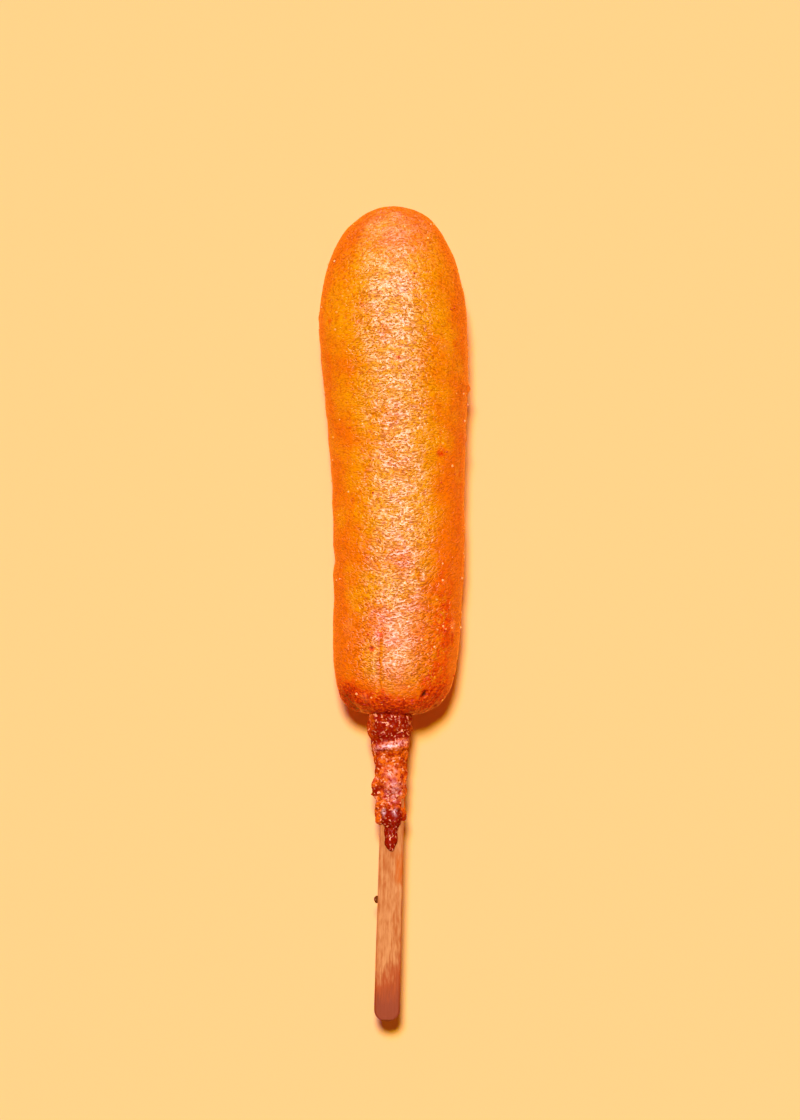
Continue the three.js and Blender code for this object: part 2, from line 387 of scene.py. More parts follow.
def into_scene(name: str, data: bpy.types.ID) -> bpy.types.Object:
    """Makes an object of its data and puts it in the scene."""
    thing = bpy.data.objects.new(name, data)
    bpy.context.scene.collection.objects.link(thing)
    return thing


def smoothed(mesh: bpy.types.Mesh) -> None:
    """Shades every face of a mesh smooth."""
    mesh.polygons.foreach_set("use_smooth", np.ones(len(mesh.polygons), bool))


def keep_evaluated(piece: bpy.types.Object) -> None:
    """Turns what a piece's modifiers make into its own plain mesh of one material, and removes them.

    Args:
        piece: the piece.
    """
    graph = bpy.context.evaluated_depsgraph_get()
    shown = piece.evaluated_get(graph)
    mesh = bpy.data.meshes.new_from_object(shown, preserve_all_data_layers=True, depsgraph=graph)
    piece.modifiers.clear()
    piece.data = mesh
    mesh.name = piece.name
    smoothed(mesh)
    used = [material for material in mesh.materials if material]
    if used:
        mesh.polygons.foreach_set("material_index", np.zeros(len(mesh.polygons), np.int32))
        mesh.materials.clear()
        mesh.materials.append(used[-1])


def make_piece(name: str, points: np.ndarray, faces: list[list[int]]) -> bpy.types.Object:
    """Makes an object from points in metres.

    Args:
        name: the piece's name.
        points: one row for each vertex.
        faces: lists of vertex numbers, facing out.

    Returns:
        The object, at the origin and in the scene.
    """
    mesh = bpy.data.meshes.new(name)
    mesh.from_pydata(points.tolist(), [], faces)
    smoothed(mesh)
    return into_scene(name, mesh)


def make_skin(name: str, points: np.ndarray, segments: int, zero: Vector) -> bpy.types.Object:
    """Makes a closed skin from rings of points and the two poles that close it.

    Args:
        name: the piece's name.
        points: in millimetres, ring by ring, then the poles of the first and the last ring. The rings run
            towards -Y and their points turn from +X to +Z, so that the faces look out.
        segments: how many points each ring has.
        zero: what the points are measured from, in millimetres in the row frame.

    Returns:
        The skin.
    """
    faces = []
    first_pole = len(points) - 2
    last = first_pole - segments
    for ring in range(0, last, segments):
        for s in range(segments):
            a, b = ring + s, ring + (s + 1) % segments
            faces.append([a, b, b + segments, a + segments])
    for s in range(segments):
        follow = (s + 1) % segments
        faces.append([first_pole, follow, s])
        faces.append([first_pole + 1, last + s, last + follow])
    return make_piece(name, (points + np.array(zero)) * MM, faces)


def add_ball(shell: bmesh.types.BMesh, middle: Vector, radii: tuple[float, float, float]) -> None:
    """Adds a closed ball to a mesh under construction.

    Args:
        shell: the mesh.
        middle: the ball's middle, in millimetres in the row frame.
        radii: how far it reaches along each axis, in millimetres.
    """
    place = Matrix.Translation(middle * MM) @ Matrix.Diagonal((*[r * MM for r in radii], 1.0))
    bmesh.ops.create_icosphere(shell, subdivisions=4, radius=1.0, matrix=place)


def store(piece: bpy.types.Object, what: Carried, values: np.ndarray) -> None:
    """Stores one number for each vertex, for the finish."""
    layer = piece.data.attributes.new(what.value, "FLOAT", "POINT")
    layer.data.foreach_set("value", values.astype(np.float32))


def turns(count: int) -> np.ndarray:
    """Angles evenly round a circle, from 0, in radians."""
    return np.arange(count) / count * 2 * math.pi


def apart(angles: np.ndarray, angle: float) -> np.ndarray:
    """How far angles are from one angle the short way round, in degrees."""
    return (angles - angle + 180.0) % 360.0 - 180.0


def smooth(share: np.ndarray | float) -> np.ndarray:
    """0 below 0, 1 above 1 and smooth between them."""
    held = np.clip(share, 0.0, 1.0)
    return held * held * (3.0 - 2.0 * held)


def blend(first: float, second: float, share: np.ndarray | float) -> np.ndarray:
    """first where share is 0, second where it is 1."""
    return first + (second - first) * share


def signed_power(value: np.ndarray, power: float) -> np.ndarray:
    """A power that keeps the value's sign."""
    return np.sign(value) * np.abs(value) ** power


def hill(*slopes: tuple[np.ndarray, float]) -> np.ndarray:
    """A round hill, 1 at its middle: each slope is a distance from there and the reach in which it falls."""
    return np.exp(-sum((away / reach) ** 2 for away, reach in slopes))


# ---- the stick's line and the part's zero ----


@dataclass(frozen=True)
class StickLine:
    """The straight line that the stick lies on, in millimetres from the part's own zero."""

    length: float = 140.0
    width: float = 5.9
    thickness: float = 3.0
    end_power: float = 2.2
    middle_x: float = -0.3
    middle_z: float = 13.6
    middle_y: float = -50.2
    swing: float = 0.0255
    rise: float = 0.03
    grip_end_y: float = -95.8

    def x(self, y: np.ndarray | float) -> np.ndarray:
        """The line's X at a Y."""
        return self.middle_x + self.swing * (y - self.middle_y)

    def z(self, y: np.ndarray | float) -> np.ndarray:
        """The line's Z at a Y."""
        return self.middle_z + self.rise * (y - self.middle_y)

    def half_width(self, from_end: np.ndarray) -> np.ndarray:
        """Half the stick's width near its rounded ends.

        Args:
            from_end: distances from the nearer end.

        Returns:
            The half widths.
        """
        half = self.width / 2
        share = np.clip(1.0 - from_end / half, 0.0, 1.0)
        return half * (1.0 - share**self.end_power) ** (1.0 / self.end_power)

    def placing(self) -> Matrix:
        """Turns and moves a stick that was built along Y round its own middle.

        Returns:
            The placing, in millimetres.
        """
        centre_y = self.grip_end_y + self.length / 2
        swung = Matrix.Rotation(-math.atan(self.swing), 4, "Z")
        turn = swung @ Matrix.Rotation(math.atan(self.rise), 4, "X")
        return Matrix.Translation((self.x(centre_y), centre_y, self.z(centre_y))) @ turn


def part_zero(line: StickLine, samples: int = 400) -> Vector:
    """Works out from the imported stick's box where the part's own zero lies in the row frame.

    Args:
        line: the stick's line from that zero.
        samples: at how many places along it the stick's edge is worked out.

    Returns:
        The zero, in millimetres.
    """
    low, high = (Vector(corner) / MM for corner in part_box("stick"))
    along = np.linspace(-line.length / 2, line.length / 2, samples)
    half = line.half_width(line.length / 2 - np.abs(along))
    right_edge = max((line.placing() @ Vector((h, y, 0.0))).x for h, y in zip(half, along))
    return Vector((high.x - right_edge, low.y - line.grip_end_y, 0.0))


# ---- relief that every batter surface gets ----


@dataclass(frozen=True)
class Relief:
    """Unevenness of a fried surface: sizes of its waves and how far each moves the skin, in millimetres."""

    swell_size: float = 19.0
    swell_depth: float = 0.1
    lump_size: float = 7.0
    lump_depth: float = 0.12
    crag_size: float = 3.9
    crag_depth: float = 0.1
    wrinkle_size: float = 1.6
    wrinkle_depth: float = 0.05
    stretch: float = 1.5
    burnt_depth: float = 1.2
    seed: float = 3.0

    def inputs(self) -> dict[str, float]:
        """The relief tree's inputs by name: swell_size is its Swell size."""
        return {name.replace("_", " ").capitalize(): value for name, value in vars(self).items()}

    def give(self, piece: bpy.types.Object, tree: GeometryGraph, material: bpy.types.Material) -> None:
        """Raises a piece's skin by this relief and gives it its material."""
        tree.apply(piece, self.inputs() | {"Material": material})


@dataclass(frozen=True)
class DrawnOut:
    """How the crust's pattern was drawn out as the batter set, in arcs that turn over at the lower half."""

    stretch: Sock | float
    wander: float = 5.0
    arch: float = 0.02
    turning: Span = (70.0, 25.0)
    stray_scale: float = 0.28

    def at(self, graph: Graph, place: Sock) -> Sock:
        """Bends and stretches the pattern.

        Args:
            graph: the tree that the nodes go into.
            place: the undisturbed place on the skin, in millimetres.

        Returns:
            The place where the pattern is read. Wrinkles are stretch times longer round the body than along
            it, and stray by wander.
        """
        x, y, z = graph.axes(place)
        turn = y.rise(*self.turning) * 2.0 - 1.0
        arched = y - x * x * turn * self.arch
        values = {"Vector": place, "Scale": self.stray_scale, "Detail": 2.0}
        stray = graph.node("ShaderNodeTexNoise", None, values).out("Color")
        flat = graph.joined(x / self.stretch, arched, z / self.stretch)
        return graph.vector("ADD", {0: flat, 1: graph.scaled(stray, self.wander)})


def wrinkles(graph: Graph, place: Sock, size: Sock | float, seed: Sock | float) -> Sock:
    """The leathery folds of a fried crust, for geometry and for colour alike.

    Args:
        graph: the tree that the nodes go into.
        place: where the pattern is read, already drawn out.
        size: the width of one fold.
        seed: picks the pattern.

    Returns:
        0 in the creases and 1 on top of the folds.
    """
    return 1.0 - graph.noise(place, size, 1.0, seed).ridge() ** 3.0


def relief_tree() -> GeometryGraph:
    """Builds the tree that raises a smooth skin's swells, lumps, crags and wrinkles along its normals.

    Returns:
        The tree. It calms the skin where pale is below 0, roughens it where it is browned, leaves nothing
        below the ground, and keeps each point's first place, in millimetres, for the finishes.
    """
    tree = GeometryGraph("fried_relief")
    size = {name: tree.number(name, value) for name, value in Relief().inputs().items()}
    seed = size["Seed"]
    place = tree.scaled(tree.position(), 1.0 / MM)
    folds = wrinkles(tree, DrawnOut(size["Stretch"]).at(tree, place), size["Wrinkle size"], seed)
    height = (folds - 0.5) * size["Wrinkle depth"] * 2.0
    for wave in ("Swell", "Lump", "Crag"):
        noise = tree.noise(place, size[f"{wave} size"], 0.0, seed)
        height = height + (noise - 0.5) * size[f"{wave} depth"] * 4.0
    height = height * (1.0 + 0.8 * tree.math("MINIMUM", tree.given(Carried.PALE), 0.0))
    rough = tree.noise(place, 1.7, 2.0, seed) - 0.5
    height = height + rough * tree.given(Carried.BROWNED) * size["Burnt depth"]
    settings = {"data_type": "FLOAT_VECTOR", "domain": "POINT"}
    values = {"Geometry": tree.geometry, "Name": Carried.REST.value, "Value": place}
    kept = tree.node("GeometryNodeStoreNamedAttribute", settings, values).out()
    normal = tree.node("GeometryNodeInputNormal").out()
    raised = tree.moved(kept, Moving.BY, tree.scaled(normal, height * MM))
    x, y, z = tree.axes(tree.position())
    above = tree.joined(x, y, tree.math("MAXIMUM", z, 0.0))
    tree.finish(tree.moved(raised, Moving.TO, above))
    return tree


# ---- finishes ----


@dataclass(frozen=True)
class Pattern:
    """A pattern of a finish: its waves' length in millimetres, how many finer ones lie on them, a seed."""

    size: float
    detail: float
    seed: float

    def on(self, graph: Graph, place: Sock) -> Sock:
        """The pattern's values from 0 to 1 at a place."""
        return graph.noise(place, self.size, self.detail, self.seed)


@dataclass(frozen=True)
class Finish:
    """What all finishes share: a Principled material whose colour, gloss and bump come from nodes."""

    name: str
    index: float = 1.5
    specular: float = 0.5
    specular_tint: Colour = (1.0, 0.85, 0.55)
    dry_specular: float = 0.0
    bump: float = 1.0

    def material(self) -> bpy.types.Material:
        """Builds the material.

        Returns:
            The material.
        """
        material = bpy.data.materials.new(self.name)
        self.paint(Graph.cleared(material))
        return material

    def paint(self, graph: Graph) -> None:
        """Works out what the surface looks like, in each finish its own way, and closes the graph."""
        raise NotImplementedError

    def close(
        self, graph: Graph, colour: Sock, roughness: Sock | float, height: Sock, shine: Sock | None = None
    ) -> None:
        """Ends a material.

        Args:
            graph: the material's graph.
            colour: its base colour.
            roughness: its roughness.
            height: the fine relief that the mesh doesn't hold, in millimetres.
            shine: where the surface is oily rather than dry; all of it when left out.
        """
        bumped = {"Strength": self.bump, "Distance": MM, "Height": height}
        values = {
            "Base Color": colour,
            "Roughness": roughness,
            "Normal": graph.node("ShaderNodeBump", None, bumped).out(),
            "IOR": self.index,
            "Specular IOR Level": self.specular,
            "Specular Tint": filled(self.specular_tint),
        }
        shader = graph.node("ShaderNodeBsdfPrincipled", None, values).out()
        if shine:
            values["Specular IOR Level"] = self.dry_specular
            dry = graph.node("ShaderNodeBsdfPrincipled", None, values).out()
            shader = graph.either(shine, dry, shader)
        graph.node("ShaderNodeOutputMaterial", None, {"Surface": shader})


@dataclass(frozen=True)
class CrustFinish(Finish):
    """Crisp golden-orange crust, wrinkled and a little oily, browned where the mesh says so, with painted
    shade in its creases and on its lower flanks and painted highlight patches.

    Spans are stretches along the body's Y, except the crown's, which is one of height.
    """

    golden: Colour = (0.83, 0.335, 0.0)
    orange: Colour = (0.81, 0.185, 0.0)
    # Painted shade: the tint laid into the creases of the folds.
    crease: Colour = (0.5, 0.40, 0.3)
    toasted: Colour = (0.75, 0.078, 0.0)
    burnt: Colour = (0.45, 0.020, 0.0)
    charred: Colour = (0.11, 0.012, 0.0)
    mottled: Colour = (0.58, 0.10, 0.0)
    # Lightens real pale flecks and painted highlight patches alike.
    pale: Colour = (1.0, 0.6, 0.25)
    wrinkle_size: float = 1.6
    seed: float = 3.0
    drawn: DrawnOut = DrawnOut(1.5)
    fine_drawn: DrawnOut = DrawnOut(2.1, wander=1.0)
    blotches: Pattern = Pattern(9.0, 3.0, 1.0)
    mottle: Pattern = Pattern(1.0, 3.0, 51.0)
    ragged: Pattern = Pattern(2.2, 3.0, 7.0)
    speckle: Pattern = Pattern(0.6, 1.0, 11.0)
    crags: Pattern = Pattern(0.8, 2.0, 61.0)
    seams: Pattern = Pattern(0.75, 1.0, 21.0)
    specks: Pattern = Pattern(0.33, 0.0, 31.0)
    oil: Pattern = Pattern(1.3, 2.0, 17.0)
    upper: Span = (-5.0, 30.0)
    lower: Span = (30.0, -10.0)
    head: Span = (62.0, 84.0)
    dome: Span = (76.0, 94.0)
    tip: Span = (75.0, 93.0)
    crown: Span = (23.5, 28.0)
    crown_slope: float = 0.07
    base_corner: Span = (-19.0, -14.0)
    base_rim: Span = (-17.0, -12.5)
    # Below this height the flanks are painted more orange, as shade.
    flank_z: float = 26.0
    roughness: float = 0.24

    def paint(self, graph: Graph) -> None:
        """Works out the crust: its colour by place and browning, painted shade in the creases and on the
        lower flanks, painted highlight patches, its fine folds and where it is oily.

        Args:
            graph: the material's graph.
        """
        rest = graph.carried(Carried.REST, "Vector")
        x, y, z = graph.axes(rest)
        pale = graph.carried(Carried.PALE)
        brown = self._browned(graph, rest)
        upper = y.rise(*self.upper)
        fine = self.fine_drawn.at(graph, rest)
        folds = wrinkles(graph, self.drawn.at(graph, rest), self.wrinkle_size, self.seed)
        seams = self.seams.on(graph, fine).ridge().rise(0.84, 0.98)
        specks = self.specks.on(graph, fine).rise(0.4, 0.57)
        tops = specks * 0.65 + (1.0 - seams) * 0.35

        # Painted shade: the lower flanks, and a little the right side, lean towards orange; the blotches are
        # the crust's own tone.
        side = (self.flank_z - z) * 0.026 + x * 0.002
        patches = self.blotches.on(graph, rest) * 0.8 + 0.1 + side
        patches = patches + y.rise(*self.tip) * 0.07 + y.rise(*self.lower) * 0.06
        colour = graph.mix(patches.rise(0.35, 0.65), self.golden, self.orange)
        colour = graph.mix(self.mottle.on(graph, rest).rise(0.5, 0.68) * 0.5, colour, self.mottled)
        colour = graph.mix(brown.rise(0.0, 0.6), colour, self.toasted)
        colour = graph.mix(brown.rise(0.5, 1.0), colour, self.burnt)
        colour = graph.mix(brown.rise(1.15, 1.7), colour, self.charred)
        crags = self.crags.on(graph, rest).rise(0.54, 0.66) * brown.rise(0.4, 0.9) * brown.rise(1.5, 1.1)
        colour = graph.mix(crags * 0.4, colour, self.orange)
        # Painted highlight: pale marks lighten the crust on highlight patches as well as on real pale
        # flecks.
        colour = graph.mix(pale * 0.3, colour, self.pale)
        # Painted shade in the creases, strongest on the crown and the head, calmer on pale marks.
        crown = (z - y * self.crown_slope).rise(*self.crown) * y.rise(*self.base_corner)
        calm = 1.0 - 0.9 * graph.math("ABSOLUTE", pale)
        depth = (0.35 + 0.55 * crown + 0.3 * y.rise(*self.head)) * (1.0 - 0.12 * upper) * calm
        colour = graph.mix(tops.rise(0.75, 0.1) * depth, colour, self.crease, Mixing.TINT)

        height = folds * 0.05 + tops * (0.12 - 0.03 * upper)
        oil = self.oil.on(graph, fine).rise(0.38, 0.6) * 0.87 + 0.13
        kept = (1.0 - 0.75 * brown.rise(0.1, 0.6)) * (1.0 - 0.42 * y.rise(*self.dome))
        kept = kept * (0.2 + 0.8 * y.rise(*self.base_rim))
        shine = tops.rise(0.1, 0.95) * (oil + pale) * kept + crags * 0.12
        self.close(graph, colour, self.roughness, height, shine.clamp())

    def _browned(self, graph: Graph, rest: Sock) -> Sock:
        """How brown the crust is, with the ragged, speckled edges of real browning.

        Args:
            graph: the material's graph.
            rest: the undisturbed place on the skin.

        Returns:
            0 where it isn't brown, 1 where it is burnt, and more where it is charred.
        """
        brown = graph.carried(Carried.BROWNED)
        ragged = (self.ragged.on(graph, rest) - 0.5) * brown.rise(0.0, 0.3) * 1.4
        speckle = (self.speckle.on(graph, rest) - 0.5) * brown.rise(0.15, 0.6) * 2.4
        return brown + ragged + speckle


@dataclass(frozen=True)
class GlazedFinish(Finish):
    """Dark, glossy, hard-fried batter, orange where it is thin, with painted glints and a painted sheen."""

    thin: Colour = (0.80, 0.165, 0.005)
    deep: Colour = (0.44, 0.028, 0.001)
    burnt: Colour = (0.26, 0.007, 0.0)
    # The colour of painted glints.
    grain: Colour = (1.0, 0.42, 0.20)
    # Painted sheen: the pale colour laid on highlights.
    sheen: Colour = (1.0, 0.72, 0.72)
    patches: Pattern = Pattern(1.6, 3.0, 4.0)
    specks: Pattern = Pattern(0.6, 1.0, 23.0)
    ragged: Pattern = Pattern(1.1, 3.0, 9.0)
    # Where painted glints show.
    lit: Pattern = Pattern(1.5, 1.0, 41.0)
    # Tiny bumps of the glaze, which also carry painted glints.
    grains: Pattern = Pattern(0.52, 0.0, 37.0)
    roughness: float = 0.2

    def paint(self, graph: Graph) -> None:
        """Works out the glaze: dark patches, burnt places that also carry painted shade, painted glints in
        bright specks, and a painted pale sheen where the sleeve carries painted highlights.

        Args:
            graph: the material's graph.
        """
        rest = graph.carried(Carried.REST, "Vector")
        patches = self.patches.on(graph, rest)
        specks = self.specks.on(graph, rest)
        wet_and_painted_sheen = graph.carried(Carried.WET)
        # Browning, together with the painted shade that the sleeve carries, darkens the glaze towards burnt.
        burn_and_shade = graph.carried(Carried.BROWNED) + (self.ragged.on(graph, rest) - 0.5) * 1.2
        dark = burn_and_shade.rise(0.2, 0.8)
        # Where painted glints show, from a random pattern.
        light = 0.1 + 0.9 * self.lit.on(graph, rest).rise(0.4, 0.62)
        grains = self.grains.on(graph, rest).rise(0.59, 0.67)
        colour = graph.mix(patches.rise(0.4, 0.62), self.thin, self.deep)
        colour = graph.mix(dark, colour, self.burnt)
        colour = graph.mix(specks.rise(0.5, 0.35) * 0.65, colour, self.burnt)
        # Painted glints: bright bits in the glint colour.
        colour = graph.mix(grains * light * (1.0 - 0.25 * dark), colour, self.grain)
        # Painted sheen: the glaze turns pale pink where the sleeve carries painted highlights.
        colour = graph.mix(wet_and_painted_sheen * specks.rise(0.36, 0.58) * 0.85, colour, self.sheen)
        glints = specks.rise(0.5, 0.62) * (1.0 - 0.7 * dark) + grains * 0.45
        shine = (glints * (light + wet_and_painted_sheen) + wet_and_painted_sheen * 0.5).clamp()
        height = specks * 0.2 + patches * 0.3 + grains * 0.1
        self.close(graph, colour, self.roughness, height, shine)


@dataclass(frozen=True)
class WoodFinish(Finish):
    """Plain pale wood with fine lengthwise grain, stained at the grip end and oily near the batter, with
    painted shade on the grip end's edge.
    """

    pale: Colour = (0.60, 0.28, 0.09)
    grain: Colour = (0.39, 0.11, 0.018)
    oily: Colour = (0.52, 0.12, 0.01)
    stained: Colour = (0.35, 0.068, 0.012)
    charred: Colour = (0.22, 0.042, 0.012)
    # Painted shade: the dark colour of the grip end's edge; it also tints dark streaks in the stain.
    rim: Colour = (0.15, 0.03, 0.002)
    fibres: Pattern = Pattern(0.32, 3.0, 2.0)
    bands: Pattern = Pattern(1.1, 2.0, 6.0)
    flecks: Pattern = Pattern(0.45, 2.0, 8.0)
    blotches: Pattern = Pattern(1.1, 2.0, 12.0)
    bump: float = 0.7

    def paint(self, graph: Graph) -> None:
        """Works out the wood: long fibres and bands, shorter flecks and blotches, uneven stains on them, and
        painted shade on the grip end's edge.

        Args:
            graph: the material's graph.
        """
        rest = graph.carried(Carried.REST, "Vector")
        lengthwise = graph.squeezed(rest, 0.06)
        fibres = self.fibres.on(graph, lengthwise)
        bands = self.bands.on(graph, lengthwise)
        flecks = self.flecks.on(graph, graph.squeezed(rest, 0.2))
        blotches = self.blotches.on(graph, graph.squeezed(rest, 0.3))
        grain = fibres * 0.3 + bands * 0.35 + flecks * 0.35 + blotches * 0.5 - 0.25
        uneven = (grain - 0.5) * 1.6
        end = graph.carried(Carried.STAINED)
        colour = graph.mix(grain.rise(0.3, 0.7), self.pale, self.grain)
        colour = graph.mix((graph.carried(Carried.OILY) + uneven * 1.3).rise(0.2, 1.0), colour, self.oily)
        colour = graph.mix((end + uneven * 1.3).rise(0.0, 1.0), colour, self.stained)
        colour = graph.mix((end + uneven).rise(0.8, 1.7), colour, self.charred)
        # Dark streaks of stain, in the colour of the painted edge shade.
        colour = graph.mix(fibres.rise(0.45, 0.7) * end.rise(0.0, 0.6) * 0.22, colour, self.rim)
        # Painted shade on the edge of the grip end.
        colour = graph.mix(end.rise(2.0, 2.6), colour, self.rim)
        self.close(graph, colour, 0.45 + 0.2 * fibres, fibres * 0.06 + flecks * 0.04)


@dataclass(frozen=True)
class CrumbFinish(Finish):
    """One small crumb's colour, a little different from crumb to crumb."""

    light: Colour = (1.0, 0.55, 0.2)
    dark: Colour = (0.95, 0.35, 0.05)
    tone: Pattern = Pattern(1.8, 1.0, 2.0)
    rough: Pattern = Pattern(0.3, 1.0, 0.0)
    roughness: float = 0.45
    bump: float = 0.3

    def paint(self, graph: Graph) -> None:
        """Works out the crumbs.

        Args:
            graph: the material's graph.
        """
        place = graph.scaled(graph.node("ShaderNodeTexCoord").out("Object"), 1.0 / MM)
        colour = graph.mix(self.tone.on(graph, place).rise(0.35, 0.65), self.light, self.dark)
        self.close(graph, colour, self.roughness, self.rough.on(graph, place))


# ---- the crusty body ----


class FriedBatter:
    """A piece of batter with its own relief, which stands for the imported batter."""

    relief: Relief

    def dress(self, piece: bpy.types.Object, tree: GeometryGraph, finish: Finish) -> None:
        """Gives the piece its relief and finish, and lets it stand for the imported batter.

        Args:
            piece: the smooth piece.
            tree: the relief tree.
            finish: its finish.
        """
        self.relief.give(piece, tree, finish.material())
        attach(piece, BODY)
        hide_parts("fried_batter")


@dataclass(frozen=True)
class Mark:
    """A crag, pit or patch of the crust: where it is, and how high, brown and pale it makes the skin. Pale
    stands for real pale flecks and for painted highlight patches.
    """

    y: float
    angle: float
    across: float
    along: float
    height: float = 0.0
    browned: float = 0.0
    pale: float = 0.0


@dataclass
class CrustBody(FriedBatter):
    """The round body with its domed tip and squarer base, in millimetres from the part's own zero.

    The marks are the crags, pits, browned places, pale flecks and painted highlight patches that can be told
    apart, in the order in which they lie over one another.
    """

    zero: Vector
    tip_y: float = 95.8
    base_y: float = -23.7
    head_half: float = 17.4
    head_y: float = 67.0
    head_power: float = 1.25
    waist_half: float = 15.45
    waist_top_y: float = 22.0
    base_half: float = 14.95
    shoulder_y: float = 2.0
    tip_power: float = 2.15
    base_power: float = 3.5
    height_share: float = 0.975
    lean: float = 1.3
    lean_y: float = 15.0
    lean_kept: float = 0.15
    bow_power: float = 2.2
    flat_depth: float = 0.7
    crease_y: float = 12.6
    crease_reach: float = 2.2
    crease_angle: float = 180.0
    crease_turn: float = 40.0
    crease_depth: float = 0.45
    browned_y: float = -14.0
    browned_length: float = 8.0
    browned_most: float = 0.88
    end_steps: int = 600
    trunk_steps: int = 200
    rings: int = 372
    segments: int = 254
    top_favour: float = 0.2
    relief: Relief = Relief()
    marks: tuple[Mark, ...] = (
        Mark(52.9, 4, 0.9, 1.0, height=0.7, pale=0.3),
        Mark(41.2, 12, 0.9, 1.4, height=0.6, pale=0.8),
        Mark(69.6, 176, 0.8, 0.9, height=0.3),
        Mark(-21.0, 66, 1.1, 0.9, height=0.5, browned=0.4),
        # Painted highlight patches near the tip.
        Mark(80.6, 88, 2.8, 0.7, height=0.3, pale=0.55),
        Mark(79.4, 79, 1.6, 1.1, height=0.3, pale=0.5),
        Mark(77.0, 96, 1.6, 0.6, height=0.15, pale=0.45),
        Mark(78.6, 92, 0.8, 0.7, height=-0.3, browned=0.4),
        Mark(62.5, 48, 1.3, 1.0, height=0.25, pale=0.2),
        Mark(27.0, 101, 1.8, 1.0, height=0.25),
        Mark(-1.5, 78, 1.2, 2.0, height=0.3),
        Mark(-4.5, 105, 0.9, 1.1, height=-0.2, browned=0.35),
        Mark(-7.8, 112, 0.7, 0.6, height=-0.5, browned=1.0),
        # A ridge with a painted highlight streak.
        Mark(-8.5, 111, 0.8, 4.5, height=0.28, pale=0.25),
        Mark(-11.5, 105, 0.5, 6.5, height=-0.4, browned=0.25),
        Mark(-13.0, 82, 3.0, 2.4, height=0.3),
        # A painted highlight cluster on the left.
        Mark(-3.0, 139, 1.6, 1.8, height=0.25, pale=0.2),
        Mark(-2.5, 28, 0.8, 1.6, height=0.25, pale=0.45),
        Mark(-18.4, 55, 0.9, 0.9, height=-0.6, browned=1.9),
        # A raised facet with a painted highlight.
        Mark(-19.4, 125, 1.0, 0.8, height=0.4, pale=0.35),
        Mark(-19.6, 152, 1.6, 1.4, height=-0.4, browned=0.9),
        Mark(-21.5, 145, 1.8, 1.0, height=-0.3, browned=0.9),
        Mark(-22.4, 129, 2.0, 0.7, height=-0.3, browned=0.8),
        Mark(-17.0, 140, 1.2, 1.6, browned=0.7),
        Mark(-22.8, 60, 3.0, 0.5, height=-0.15, browned=0.7),
        Mark(-19.8, 154, 6.5, 4.0, browned=1.25),
        Mark(-18.8, 33, 6.0, 4.5, browned=0.85),
        Mark(-17.4, 80, 3.8, 2.6, browned=-0.6, pale=-0.7),
        Mark(-18.6, 108, 3.0, 1.6, browned=0.55),
        Mark(-14.8, 50, 3.2, 3.0, height=-0.15, browned=0.5),
        Mark(-23.0, 97, 3.5, 1.2, browned=1.3),
        # A painted highlight patch on the lower crown.
        Mark(-7.5, 86, 3.0, 7.5, pale=0.45),
        Mark(46.5, 112, 1.4, 0.9, height=-0.3, browned=0.25),
        Mark(9.5, 70, 0.9, 1.5, height=-0.3, browned=0.25),
        Mark(65.5, 97, 1.3, 2.4, height=-0.1, browned=0.3),
        Mark(59.8, 87, 0.6, 0.5, height=-0.15, browned=0.6),
        Mark(63.3, 35, 1.2, 1.0, browned=0.4),
        Mark(37.9, 49, 1.6, 1.2, browned=0.45),
        Mark(68.7, 147, 1.3, 1.0, browned=0.35),
        Mark(-5.6, 29, 0.8, 1.5, height=-0.2, browned=1.0),
        Mark(-4.0, 43, 5.0, 16.0, browned=0.42),
        Mark(30.0, 20, 5.0, 26.0, browned=0.2),
        Mark(80.0, 8, 9.0, 8.0, height=-0.4),
        Mark(10.0, 0, 6.0, 9.0, height=0.35),
        Mark(-20.5, 176, 5.0, 2.2, height=0.7, browned=0.7),
        Mark(-21.8, 158, 1.6, 1.2, height=-0.6, browned=1.35),
        Mark(-22.0, 168, 1.2, 0.9, height=0.5, browned=0.8),
        Mark(-21.5, 20, 1.8, 1.1, height=-0.5, browned=0.95),
        Mark(-20.6, 42, 1.5, 0.8, height=-0.4, browned=0.9),
    )

    def half(self, y: np.ndarray) -> np.ndarray:
        """Works out half the body's width along its straight stretch.

        Args:
            y: places along the body.

        Returns:
            The half widths.
        """
        slimmer = np.clip((self.waist_top_y - y) / (self.waist_top_y - self.shoulder_y), 0.0, 1.0)
        low = blend(self.waist_half, self.base_half, slimmer)
        wider = smooth((y - self.waist_top_y) / (self.head_y - self.waist_top_y)) ** self.head_power
        return low + (self.head_half - low) * wider

    def middle_x(self, y: np.ndarray) -> np.ndarray:
        """Works out the middle line's X: a slight bow.

        Args:
            y: places along the body.

        Returns:
            The line's X there.
        """
        to_head = np.clip((y - self.lean_y) / (self.head_y - self.lean_y), 0.0, 1.0)
        to_base = smooth((self.lean_y - y) / (self.lean_y - self.base_y))
        upper = self.lean * (1.0 - to_head**self.bow_power)
        return np.where(y > self.lean_y, upper, blend(self.lean, self.lean_kept, to_base))

    def middle_z(self, y: np.ndarray) -> np.ndarray:
        """Works out the middle line's Z: the body lies on its widest place and on its lower half.

        Args:
            y: places along the body.

        Returns:
            The line's Z there.
        """
        ends = (self.base_half, self.head_half)
        low_z, head_z = (half * self.height_share - self.flat_depth for half in ends)
        share = np.clip((y - self.shoulder_y) / (self.head_y - self.shoulder_y), 0.0, 1.0)
        return blend(low_z, head_z, share)

